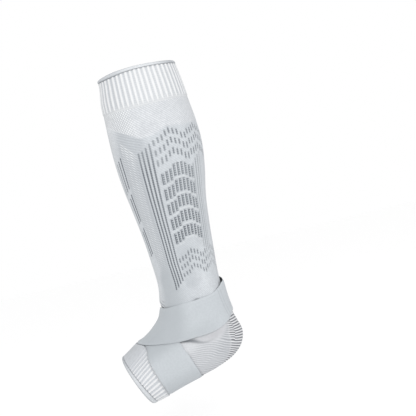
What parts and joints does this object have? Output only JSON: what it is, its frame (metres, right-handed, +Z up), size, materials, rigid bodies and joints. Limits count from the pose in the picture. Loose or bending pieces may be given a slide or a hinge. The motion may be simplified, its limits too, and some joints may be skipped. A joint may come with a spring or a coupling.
{
  "type": "compression sock",
  "caption": "Open-toe knitted compression sock in its worn shape, ribbed cuffs at calf and toe, with an elastic ankle strap wound in a figure of eight.",
  "frame": {"origin": "centre of the top opening, where the leg goes in", "axes": "+Z up along the leg, -X towards the toes, -Y towards the side that is seen in the main view"},
  "size_m": [0.1665, 0.1124, 0.4248],
  "materials": {
    "welt": "soft rolled knit, pale cool grey",
    "rib_knit": "white ribs on a light grey ground",
    "leg_knit": "light cool grey knit with darker openwork",
    "heel_knit": "light grey knit, dark grey stripes at the heel",
    "elastic": "smooth elastic, slightly blue grey",
    "hook_tape": "matt hook tape"
  },
  "bodies": {
    "root": {"top_welt": "welt", "rib_cuff": "rib_knit", "leg_sleeve": "leg_knit", "heel_pocket": "heel_knit", "toe_cuff": "rib_knit", "toe_welt": "welt", "ankle_strap": "elastic", "hook_patch": "hook_tape"}
  },
  "joints": []
}
